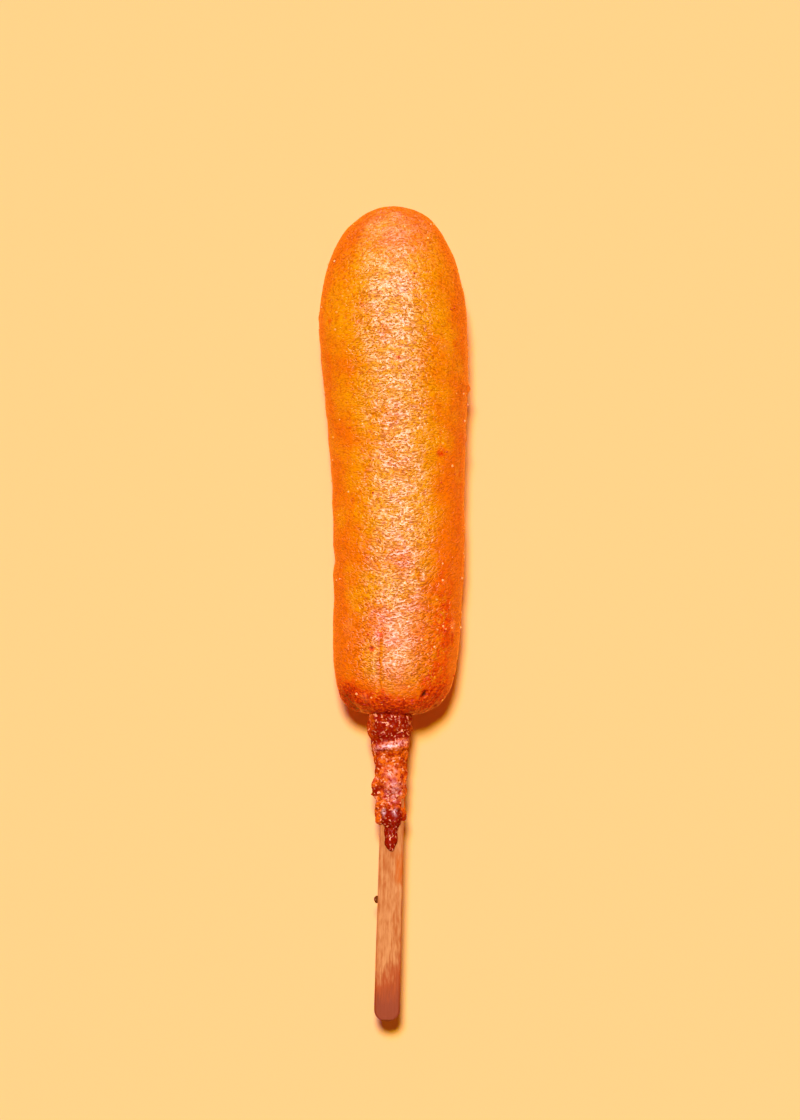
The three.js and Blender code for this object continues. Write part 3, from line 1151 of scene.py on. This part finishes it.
    def profile(self) -> tuple[np.ndarray, np.ndarray]:
        """Works out the body's outline from tip to base.

        Returns:
            Each ring's Y and its share of the full half width, evenly spaced along the skin.
        """
        turn = np.linspace(0.0, math.pi / 2, self.end_steps)
        tip_share = np.sin(turn) ** (2 / self.tip_power)
        tip_y = blend(self.head_y, self.tip_y, np.cos(turn) ** (2 / self.tip_power))
        base_share = np.cos(turn) ** (2 / self.base_power)
        base_y = blend(self.shoulder_y, self.base_y, np.sin(turn) ** (2 / self.base_power))
        trunk_y = np.linspace(self.head_y, self.shoulder_y, self.trunk_steps)[1:-1]
        y = np.concatenate([tip_y, trunk_y, base_y])
        share = np.concatenate([tip_share, np.ones_like(trunk_y), base_share])
        steps = np.hypot(np.diff(y), np.diff(share * self.half(y)))
        length = np.concatenate([[0.0], np.cumsum(steps)])
        stations = np.linspace(0.0, length[-1], self.rings + 2)[1:-1]
        return np.interp(stations, length, y), np.interp(stations, length, share)

    def build(self) -> bpy.types.Object:
        """Makes the smooth closed skin with its marks, and stores how brown and pale each vertex is; pale
        also stands for painted highlight patches.

        Returns:
            The crust.
        """
        y, share = self.profile()
        turn = turns(self.segments)
        angle = turn + self.top_favour * np.cos(turn)
        ring_y = np.repeat(y, self.segments)
        around = np.tile(angle, self.rings)
        half = np.repeat(self.half(y) * share, self.segments)
        push, browned, pale = self._marked(ring_y, around, half)
        reach = half + push
        x = self.middle_x(ring_y) + reach * np.cos(around)
        z = self.middle_z(ring_y) + reach * self.height_share * np.sin(around)
        ends = np.array([self.tip_y, self.base_y])
        poles = np.stack([self.middle_x(ends), ends, self.middle_z(ends)], axis=1)
        points = np.vstack([np.stack([x, ring_y, z], axis=1), poles])
        piece = make_skin("crust", points, self.segments, self.zero)
        store(piece, Carried.BROWNED, np.append(browned, [0.0, 1.0]))
        store(piece, Carried.PALE, np.append(pale, [0.0, 0.0]))
        return piece

    def _marked(self, y: np.ndarray, around: np.ndarray, half: np.ndarray) -> tuple[np.ndarray, ...]:
        """Works out what the browned base, the crease across the left side and the marks do to each vertex.

        Args:
            y: each vertex's Y.
            around: its angle from +X towards +Z, in radians.
            half: how far it is from the middle line.

        Returns:
            How far each vertex is pushed out, and how brown and how pale it is; pale also marks painted
            highlight patches.
        """
        degrees = np.degrees(around)
        browned = smooth((self.browned_y - y) / self.browned_length) * self.browned_most
        pale = np.zeros_like(y)
        beside = apart(degrees, self.crease_angle)
        crease = hill((y - self.crease_y, self.crease_reach), (beside, self.crease_turn))
        push = -self.crease_depth * crease
        for mark in self.marks:
            away = np.radians(apart(degrees, mark.angle)) * half
            near = hill((away, mark.across), (y - mark.y, mark.along))
            push += mark.height * near
            browned = np.maximum(browned + min(mark.browned, 0.0) * near, mark.browned * near)
            pale = np.maximum(pale + min(mark.pale, 0.0) * near, mark.pale * near)
        return push, browned, pale


# ---- batter on the stick ----


@dataclass(frozen=True)
class Blob:
    """A rounded lump of batter: its middle from the stick's line, and its three radii."""

    x: float
    y: float
    z: float
    radii: tuple[float, float, float]


@dataclass
class BatterSleeve(FriedBatter):
    """The lumpy batter that ran down the stick, in millimetres from the part's own zero.

    The root and the end each have four half widths: to the left, to the right, up and down. A fold is its
    middle Y, its reach and how much wider it is. The blobs are the lumps on the sleeve, and the bead and the
    last run below it.
    """

    line: StickLine
    zero: Vector
    root_y: float = -17.0
    end_y: float = -49.6
    root: tuple[float, float, float, float] = (6.2, 4.0, 5.6, 5.2)
    end: tuple[float, float, float, float] = (4.0, 3.2, 2.5, 2.4)
    slim_from_y: float = -25.5
    slim_length: float = 13.0
    power: float = 2.6
    end_slant: float = -0.15
    close_share: float = 0.05
    close_depth: float = 0.85
    rings: int = 120
    segments: int = 72
    voxel: float = 0.2
    relief: Relief = Relief(
        swell_depth=0.0, lump_size=3.4, lump_depth=0.28, crag_size=1.6, crag_depth=0.16,
        wrinkle_size=0.9, wrinkle_depth=0.1, stretch=1.3, seed=8.0,
    )
    folds: tuple[tuple[float, float, float], ...] = (
        (-26.9, 1.6, 0.02), (-29.3, 0.7, -0.06), (-31.2, 1.0, 0.02), (-36.5, 1.2, 0.06), (-43.9, 0.6, -0.06)
    )
    blobs: tuple[Blob, ...] = (
        Blob(-3.6, -40.7, 0.6, (1.6, 2.8, 1.5)),
        Blob(-4.5, -42.3, 0.4, (0.9, 0.6, 0.8)),
        Blob(0.0, -47.6, 1.9, (2.35, 3.0, 1.7)),
        Blob(-0.1, -51.6, 1.5, (1.65, 4.0, 1.4)),
        Blob(-2.5, -45.3, 2.0, (1.5, 1.6, 1.2)),
        Blob(-0.4, -31.0, 3.2, (4.0, 1.4, 2.3)),
        Blob(-0.4, -38.6, 1.6, (2.9, 3.6, 2.3)),
        Blob(-1.9, -45.2, 2.5, (0.9, 1.1, 1.1)),
        Blob(1.2, -45.2, 2.7, (1.0, 0.8, 0.9)),
    )

    def build(self) -> bpy.types.Object:
        """Makes the sleeve and its lumps as one closed mesh.

        Returns:
            The sleeve.
        """
        share = np.linspace(0.0, 1.0, self.rings)
        y = blend(self.root_y, self.end_y, share)
        slim = smooth((self.slim_from_y - y) / self.slim_length)
        closed = np.clip((share - 1.0) / self.close_share + 1.0, 0.0, 1.0)
        close = np.sqrt(1.0 - closed**2 * self.close_depth)
        sides = zip(self.root, self.end)
        left, right, top, bottom = ((blend(a, b, slim) * close)[:, None] for a, b in sides)
        turn = turns(self.segments)
        across, up = (signed_power(wave, 2 / self.power)[None, :] for wave in (np.cos(turn), np.sin(turn)))
        fold = self._folds(y)[:, None]
        x = across * np.where(across > 0, right, left) * fold
        z = up * np.where(up > 0, top, bottom) * fold
        thin_end = smooth((self.root_y - y) / (self.root_y - self.end_y))[:, None]
        ring_y = y[:, None] - self.end_slant * x * thin_end
        rings = np.stack([self.line.x(y)[:, None] + x, ring_y, self.line.z(y)[:, None] + z], axis=2)
        poles = [[self.line.x(end), end, self.line.z(end)] for end in (self.root_y, self.end_y)]
        points = np.vstack([rings.reshape(-1, 3), poles])
        piece = make_skin("batter_sleeve", points, self.segments, self.zero)
        self._add_blobs(piece)
        self._fuse(piece)
        self._store_browning_shade_and_sheen(piece)
        return piece

    def _folds(self, y: np.ndarray) -> np.ndarray:
        """How the sleeve swells and narrows along its length."""
        return 1.0 + sum(depth * hill((y - middle, reach)) for middle, reach, depth in self.folds)

    def _add_blobs(self, piece: bpy.types.Object) -> None:
        """Joins the lumps to the sleeve's mesh as closed shells of their own.

        Args:
            piece: the sleeve.
        """
        shell = bmesh.new()
        shell.from_mesh(piece.data)
        for blob in self.blobs:
            at = Vector((self.line.x(blob.y) + blob.x, blob.y, self.line.z(blob.y) + blob.z))
            add_ball(shell, at + self.zero, blob.radii)
        shell.to_mesh(piece.data)
        shell.free()

    def _fuse(self, piece: bpy.types.Object) -> None:
        """Melts the sleeve and its lumps into one even skin.

        Args:
            piece: the sleeve.
        """
        remesh = piece.modifiers.new("fuse", "REMESH")
        remesh.mode = "VOXEL"
        remesh.voxel_size = self.voxel * MM
        even = piece.modifiers.new("even", "SMOOTH")
        even.factor = 0.5
        even.iterations = 3
        keep_evaluated(piece)

    def _store_browning_shade_and_sheen(self, piece: bpy.types.Object) -> None:
        """Stores how dark each place of the sleeve is, with painted shade under the body's base and in the
        crease below it, and how glossy it is, with painted highlights.

        Args:
            piece: the sleeve.
        """
        points = np.empty(len(piece.data.vertices) * 3)
        piece.data.vertices.foreach_get("co", points)
        x, y, _ = (points.reshape(-1, 3) / MM - np.array(self.zero)).T
        slant = y - 0.2 * x
        side = x - self.line.x(y)
        flank = smooth((np.abs(side + 0.5) - 3.9) / 1.6)
        # Painted shade: the top of the sleeve under the body's overhanging base is darkened, less at its
        # thin edges.
        joint = 0.75 * smooth((slant + 30.0) / 1.0) * (1.0 - 0.8 * flank)
        # Painted shade in the crease below that band.
        crease = 0.9 * hill((slant + 28.9, 0.6))
        bead = 0.85 * (smooth((-45.0 - y) / 1.2) * smooth((2.9 - np.abs(side + 0.1)) / 0.7))
        spur = 0.9 * hill((side + 4.2, 1.7), (y + 41.5, 1.6))
        store(piece, Carried.BROWNED, np.maximum.reduce([joint, crease, bead, spur]))
        # Painted highlights, which also make these places glossy: a band below the crease, patches in the
        # middle and two glints on the bead.
        below_crease = 0.9 * hill((slant + 30.5, 0.7), (side + 0.6, 3.2))
        middle = 0.42 * hill((y + 41.3, 2.2), (side - 0.2, 1.5))
        above_middle = 0.42 * hill((y + 37.0, 1.0), (side + 0.3, 1.2))
        bead_eyes = 0.9 * hill((y + 46.4, 0.7), (np.abs(side + 0.65) - 1.35, 0.5))
        store(piece, Carried.WET, below_crease + middle + above_middle + bead_eyes)


# ---- crumbs ----


@dataclass
class Crumbs:
    """Small crumbs of one kind, scattered over a skin."""

    name: str
    finish: CrumbFinish
    count_for_square_cm: float
    smallest: float
    largest: float
    seed: int
    lowest: float = 2.0
    dents: Pattern = Pattern(1.1, 1.0, 4.0)
    dent_depth: float = 1.2
    full_turn: float = 6.28

    def tree(self) -> GeometryGraph:
        """Builds the scattering tree: points on a skin, a rough crumb on each, turned and sized at random.

        Returns:
            The tree.
        """
        tree = GeometryGraph("scattered_crumbs")
        density = tree.number("Density", 1.0)
        smallest = tree.number("Smallest", 0.1)
        largest = tree.number("Largest", 0.2)
        seed = tree.number("Seed", 0)
        z = tree.axes(tree.position())[2]
        values = {
            "Mesh": tree.geometry,
            "Selection": tree.math("GREATER_THAN", z, tree.number("Lowest", 0.0)),
            "Density": density,
            "Seed": seed,
        }
        settings = {"distribute_method": "RANDOM"}
        points = tree.node("GeometryNodeDistributePointsOnFaces", settings, values).out("Points")
        ball = tree.node("GeometryNodeMeshIcoSphere", None, {"Radius": 1.0, "Subdivisions": 2}).out("Mesh")
        place = tree.position()
        dent = tree.scaled(place, (self.dents.on(tree, place) - 0.5) * self.dent_depth)
        turn = tree.chance("FLOAT_VECTOR", {"Max": (self.full_turn,) * 3, "Seed": seed})
        size = tree.chance("FLOAT", {"Min": smallest, "Max": largest, "Seed": seed})
        crumb = tree.moved(ball, Moving.BY, dent)
        values = {"Points": points, "Instance": crumb, "Rotation": turn, "Scale": size}
        tree.finish(tree.node("GeometryNodeInstanceOnPoints", None, values).out())
        return tree

    def build(self, skin: bpy.types.Object) -> bpy.types.Object:
        """Scatters the crumbs over a finished skin and makes them one piece.

        Args:
            skin: the piece that they stick to.

        Returns:
            The crumbs.
        """
        piece = into_scene(self.name, skin.data.copy())
        values = {
            "Density": self.count_for_square_cm * 1e4,
            "Smallest": self.smallest * MM,
            "Largest": self.largest * MM,
            "Lowest": self.lowest * MM,
            "Seed": self.seed,
            "Material": self.finish.material(),
        }
        self.tree().apply(piece, values)
        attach(piece, BODY)
        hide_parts("fried_batter")
        return piece


# ---- the wooden stick ----


@dataclass
class WoodenStick:
    """The flat stick with its rounded edges and ends, and the bead of batter on its edge."""

    line: StickLine
    zero: Vector
    edge_round: float = 0.7
    corner_share: float = 0.98
    flatness: float = 6.0
    rings: int = 420
    segments: int = 72
    end_crowding: float = 1.6
    top_share: float = 0.94
    grip_share: float = 1.04
    taper_length: float = 50.0
    stain_length: float = 16.5
    stain_fade: float = 8.0
    stain_most: float = 1.8
    stain_slant: float = 1.6
    # Where the painted shade on the grip end's edge lies.
    rim_length: float = 0.7
    rim_fade: float = 0.4
    oily_from_grip: float = 36.0
    oily_reach: float = 7.0
    oily_most: float = 0.7
    bead_y: float = -67.1
    bead_radii: tuple[float, float, float] = (0.6, 0.9, 0.7)
    bead_out: float = 0.1
    bead_browned: float = 0.6
    relief: Relief = Relief(swell_depth=0.03, lump_depth=0.02, crag_depth=0.015, wrinkle_depth=0.0, seed=5.0)
    bead_relief: Relief = Relief(
        swell_depth=0.0, lump_depth=0.0, crag_size=0.9, crag_depth=0.07, wrinkle_depth=0.0
    )

    def section(self, half_width: float, half_height: float) -> np.ndarray:
        """A rectangle with rounded corners.

        Args:
            half_width: half its width.
            half_height: half its height.

        Returns:
            Points round it, from +X towards +Z.
        """
        corner = min(self.edge_round, half_width * self.corner_share, half_height * self.corner_share)
        turn = (np.arange(self.segments) + 0.5) / self.segments * 2 * math.pi
        full = math.tanh(self.flatness)
        x, z = (
            corner * wave + (half - corner) * np.tanh(wave * self.flatness) / full
            for wave, half in ((np.cos(turn), half_width), (np.sin(turn), half_height))
        )
        return np.stack([x, z], axis=1)

    def build(self) -> bpy.types.Object:
        """Makes the stick along its own line and stores its stains.

        Returns:
            The stick, lying round its own middle.
        """
        line = self.line
        end = line.length / 2
        turn = np.linspace(math.pi / 2, -math.pi / 2, self.rings + 2)[1:-1]
        along = np.sign(turn) * (1.0 - (1.0 - np.abs(turn) / (math.pi / 2)) ** self.end_crowding) * end
        rows = []
        for y in along:
            from_end = end - abs(y)
            edge = max(0.0, 1.0 - from_end / self.edge_round)
            half_height = line.thickness / 2 - self.edge_round * (1.0 - math.sqrt(1.0 - edge**2))
            taper = blend(self.grip_share, self.top_share, min(1.0, (y + end) / self.taper_length))
            ring = self.section(float(line.half_width(np.array(from_end))) * taper, half_height)
            rows.append(np.stack([ring[:, 0], np.full(self.segments, y), ring[:, 1]], axis=1))
        points = np.vstack([*rows, [[0.0, end, 0.0], [0.0, -end, 0.0]]])
        piece = make_skin("wooden_stick", points, self.segments, Vector())
        self._store_stains_and_rim_shade(piece, points[:, 0], points[:, 1] + end)
        return piece

    def _store_stains_and_rim_shade(self, piece: bpy.types.Object, x: np.ndarray, from_grip: np.ndarray) -> None:
        """Stores how stained and how oily each vertex of the stick is; the stain carries painted shade on
        the grip end's edge.

        Args:
            piece: the stick.
            x: each vertex's distance to the right of the middle.
            from_grip: its distance from the grip end.
        """
        slant = self.stain_slant * np.clip(x / 2.0, -1.0, 1.0) * smooth((from_grip - 3.0) / 6.0)
        stained = np.clip((self.stain_length + slant - from_grip) / self.stain_fade, 0.0, self.stain_most)
        # Painted shade on the grip end's edge, added on top of the stain.
        rim = smooth((self.rim_length - from_grip) / self.rim_fade)
        store(piece, Carried.STAINED, stained + rim)
        right = smooth((x + 0.4) / 2.6)
        near = hill((from_grip - self.oily_from_grip, self.oily_reach))
        store(piece, Carried.OILY, near * right * self.oily_most)

    def dress(self, piece: bpy.types.Object, tree: GeometryGraph, finish: WoodFinish) -> None:
        """Gives the stick its finish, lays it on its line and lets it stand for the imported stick.

        Args:
            piece: the stick, still round its own middle. It is raised for the relief tree, which leaves
                nothing below the ground.
            tree: the relief tree.
            finish: the wood.
        """
        raised = Matrix.Translation((0.0, 0.0, self.line.thickness * MM))
        piece.data.transform(raised)
        self.relief.give(piece, tree, finish.material())
        placing = self.line.placing()
        placing.translation *= MM
        piece.data.transform(Matrix.Translation(self.zero * MM) @ placing @ raised.inverted())
        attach(piece, BODY)
        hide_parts("stick")

    def bead(self, tree: GeometryGraph, finish: GlazedFinish) -> bpy.types.Object:
        """Makes the bead of batter on the stick's left edge.

        Args:
            tree: the relief tree.
            finish: the glaze.

        Returns:
            The bead.
        """
        left = self.line.x(self.bead_y) - self.line.width / 2 - self.bead_out
        at = Vector((left, self.bead_y, self.line.z(self.bead_y)))
        ball = bmesh.new()
        add_ball(ball, at + self.zero, self.bead_radii)
        mesh = bpy.data.meshes.new("stick_bead")
        ball.to_mesh(mesh)
        ball.free()
        piece = into_scene("stick_bead", mesh)
        store(piece, Carried.BROWNED, np.full(len(mesh.vertices), self.bead_browned))
        self.bead_relief.give(piece, tree, finish.material())
        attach(piece, BODY)
        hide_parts("stick")
        return piece


# ---- studio ----


@dataclass(frozen=True)
class Sun:
    """A distant lamp: its strength in each colour; its size and how far back and left it is, in degrees."""

    name: str
    strength: Colour
    size: float
    back: float
    left: float

    def build(self) -> None:
        """Makes the lamp, which no glossy surface mirrors."""
        data = bpy.data.lights.new(self.name, "SUN")
        data.energy = 1.0
        data.color = self.strength
        data.angle = math.radians(self.size)
        lamp = into_scene(self.name, data)
        lamp.visible_glossy = False
        towards = Vector((-math.tan(math.radians(self.left)), math.tan(math.radians(self.back)), 1.0))
        lamp.rotation_euler = towards.to_track_quat("Z", "Y").to_euler()


@dataclass
class Studio:
    """The floor, the lights and the camera.

    The spans are parts of the way out along each axis. They bound the bright strip that glossy surfaces
    mirror, and the ground under it.
    """

    zero: Vector
    image_wide: int = 800
    image_high: int = 1120
    zero_pixel_x: float = 393.0
    zero_pixel_y: float = 614.5
    pixel: float = 0.235
    camera_height: float = 1500.0
    sharp_height: float = 15.0
    sensor: float = 36.0
    nearest: float = 0.01
    floor_reach: float = 8.0
    floor_colour: Colour = (0.98, 0.574, 0.228)
    seen_colour: Colour = (1.0, 0.665, 0.258)
    fill_colour: Colour = (0.27, 0.08, 0.012)
    gloss_low: Colour = (1.5, 0.22, 0.0)
    gloss_floor: Colour = (2.0, 0.55, 0.04)
    gloss_high: Colour = (5.0, 5.3, 7.8)
    strip_sides: Span = (0.85, 0.2)
    strip_back: Span = (-0.75, -0.35)
    strip_low: Span = (-0.6, -0.2)
    strip_high: Span = (0.5, 0.85)
    strip_low_share: float = 0.45
    ground: Span = (-0.3, -0.9)
    suns: tuple[Sun, ...] = (
        Sun("warm_key", (3.75, 3.53, 0.0), size=9.5, back=16.8, left=2.7),
        Sun("cool_key", (0.0, 0.0, 3.72), size=10.5, back=18.8, left=3.7),
    )

    def camera(self) -> None:
        """Makes the camera, looking straight down with the tip at the top of the image."""
        data = bpy.data.cameras.new("camera")
        distance = self.camera_height - self.sharp_height
        data.sensor_width = self.sensor
        data.lens = self.sensor * distance / (self.image_high * self.pixel)
        data.clip_start = self.nearest
        camera = into_scene("camera", data)
        x = (self.image_wide / 2 - self.zero_pixel_x) * self.pixel
        y = (self.zero_pixel_y - self.image_high / 2) * self.pixel
        camera.location = (Vector((x, y, self.camera_height)) + self.zero) * MM
        bpy.context.scene.camera = camera

    def floor(self) -> None:
        """Makes the plain floor."""
        corners = np.array([[-1.0, -1.0, 0.0], [1.0, -1.0, 0.0], [1.0, 1.0, 0.0], [-1.0, 1.0, 0.0]])
        floor = make_piece("floor", corners * self.floor_reach, [[0, 1, 2, 3]])
        material = bpy.data.materials.new("floor_paper")
        graph = Graph.cleared(material)
        values = {"Base Color": filled(self.floor_colour), "Roughness": 0.9, "Specular IOR Level": 0.0}
        shader = graph.node("ShaderNodeBsdfPrincipled", None, values).out()
        graph.node("ShaderNodeOutputMaterial", None, {"Surface": shader})
        floor.data.materials.append(material)
        floor.visible_glossy = False

    def lights(self) -> None:
        """Makes the suns, and a world: an even fill for dull surfaces, a strip of light for glossy ones."""
        for sun in self.suns:
            sun.build()
        world = bpy.data.worlds.new("studio")
        graph = Graph.cleared(world)
        x, y, z = graph.axes(graph.node("ShaderNodeTexCoord").out("Generated"))
        inside = graph.math("ABSOLUTE", x).rise(*self.strip_sides) * y.rise(*self.strip_back)
        low = z.rise(*self.strip_low) * self.strip_low_share
        strip = inside * (low + z.rise(*self.strip_high) * (1.0 - self.strip_low_share))
        around = graph.mix(z.rise(*self.ground), self.gloss_low, self.gloss_floor)
        light, gloss, seen = (
            graph.node("ShaderNodeBackground", None, {"Color": filled(colour), "Strength": 1.0}).out()
            for colour in (self.fill_colour, graph.mix(strip, around, self.gloss_high), self.seen_colour)
        )
        path = graph.node("ShaderNodeLightPath")
        lit = graph.either(path.out("Is Glossy Ray"), light, gloss)
        both = graph.either(path.out("Is Camera Ray"), lit, seen)
        graph.node("ShaderNodeOutputWorld", None, {"Surface": both})
        bpy.context.scene.world = world

    def build(self) -> None:
        """Makes everything that isn't part of the object."""
        self.camera()
        self.floor()
        self.lights()
        bpy.context.scene.view_settings.view_transform = "Standard"


# ---- putting it together ----


def report(piece: bpy.types.Object) -> None:
    """Logs a finished piece."""
    log.info("%s: %d faces, %s", piece.name, len(piece.data.polygons), piece.data.materials[0].name)


def main() -> None:
    """Builds the studio and the pieces in order."""
    logging.basicConfig(level=logging.INFO, format="%(name)s %(message)s")
    line = StickLine()
    zero = part_zero(line)
    Studio(zero).build()
    relief = relief_tree()

    body = CrustBody(zero)
    crust = body.build()
    gloss = {"index": 1.7, "specular": 0.77, "specular_tint": (1.0, 0.97, 0.92), "dry_specular": 0.09}
    body.dress(crust, relief, CrustFinish("fried_crust", **gloss))
    report(crust)

    batter = BatterSleeve(line, zero)
    sleeve = batter.build()
    glaze = GlazedFinish("fried_glaze", index=1.6, specular=0.7, specular_tint=(1.0, 0.78, 0.58))
    batter.dress(sleeve, relief, glaze)
    report(sleeve)

    wood = WoodenStick(line, zero)
    stick = wood.build()
    wood.dress(stick, relief, WoodFinish("plain_wood", specular=0.3))
    report(stick)
    dull = {"thin": (0.3, 0.12, 0.01), "deep": (0.2, 0.06, 0.006), "burnt": (0.12, 0.03, 0.005)}
    report(wood.bead(relief, GlazedFinish("bead_glaze", **dull)))

    pale = CrumbFinish("pale_crumb")
    dark = CrumbFinish("dark_crumb", light=(0.6, 0.05, 0.0), dark=(0.3, 0.016, 0.0))
    for crumbs in (
        Crumbs("crust_crumbs", pale, count_for_square_cm=1.6, smallest=0.12, largest=0.32, seed=5),
        Crumbs("browned_crumbs", dark, count_for_square_cm=0.3, smallest=0.12, largest=0.3, seed=9),
    ):
        report(crumbs.build(crust))


if __name__ == "__main__":
    main()
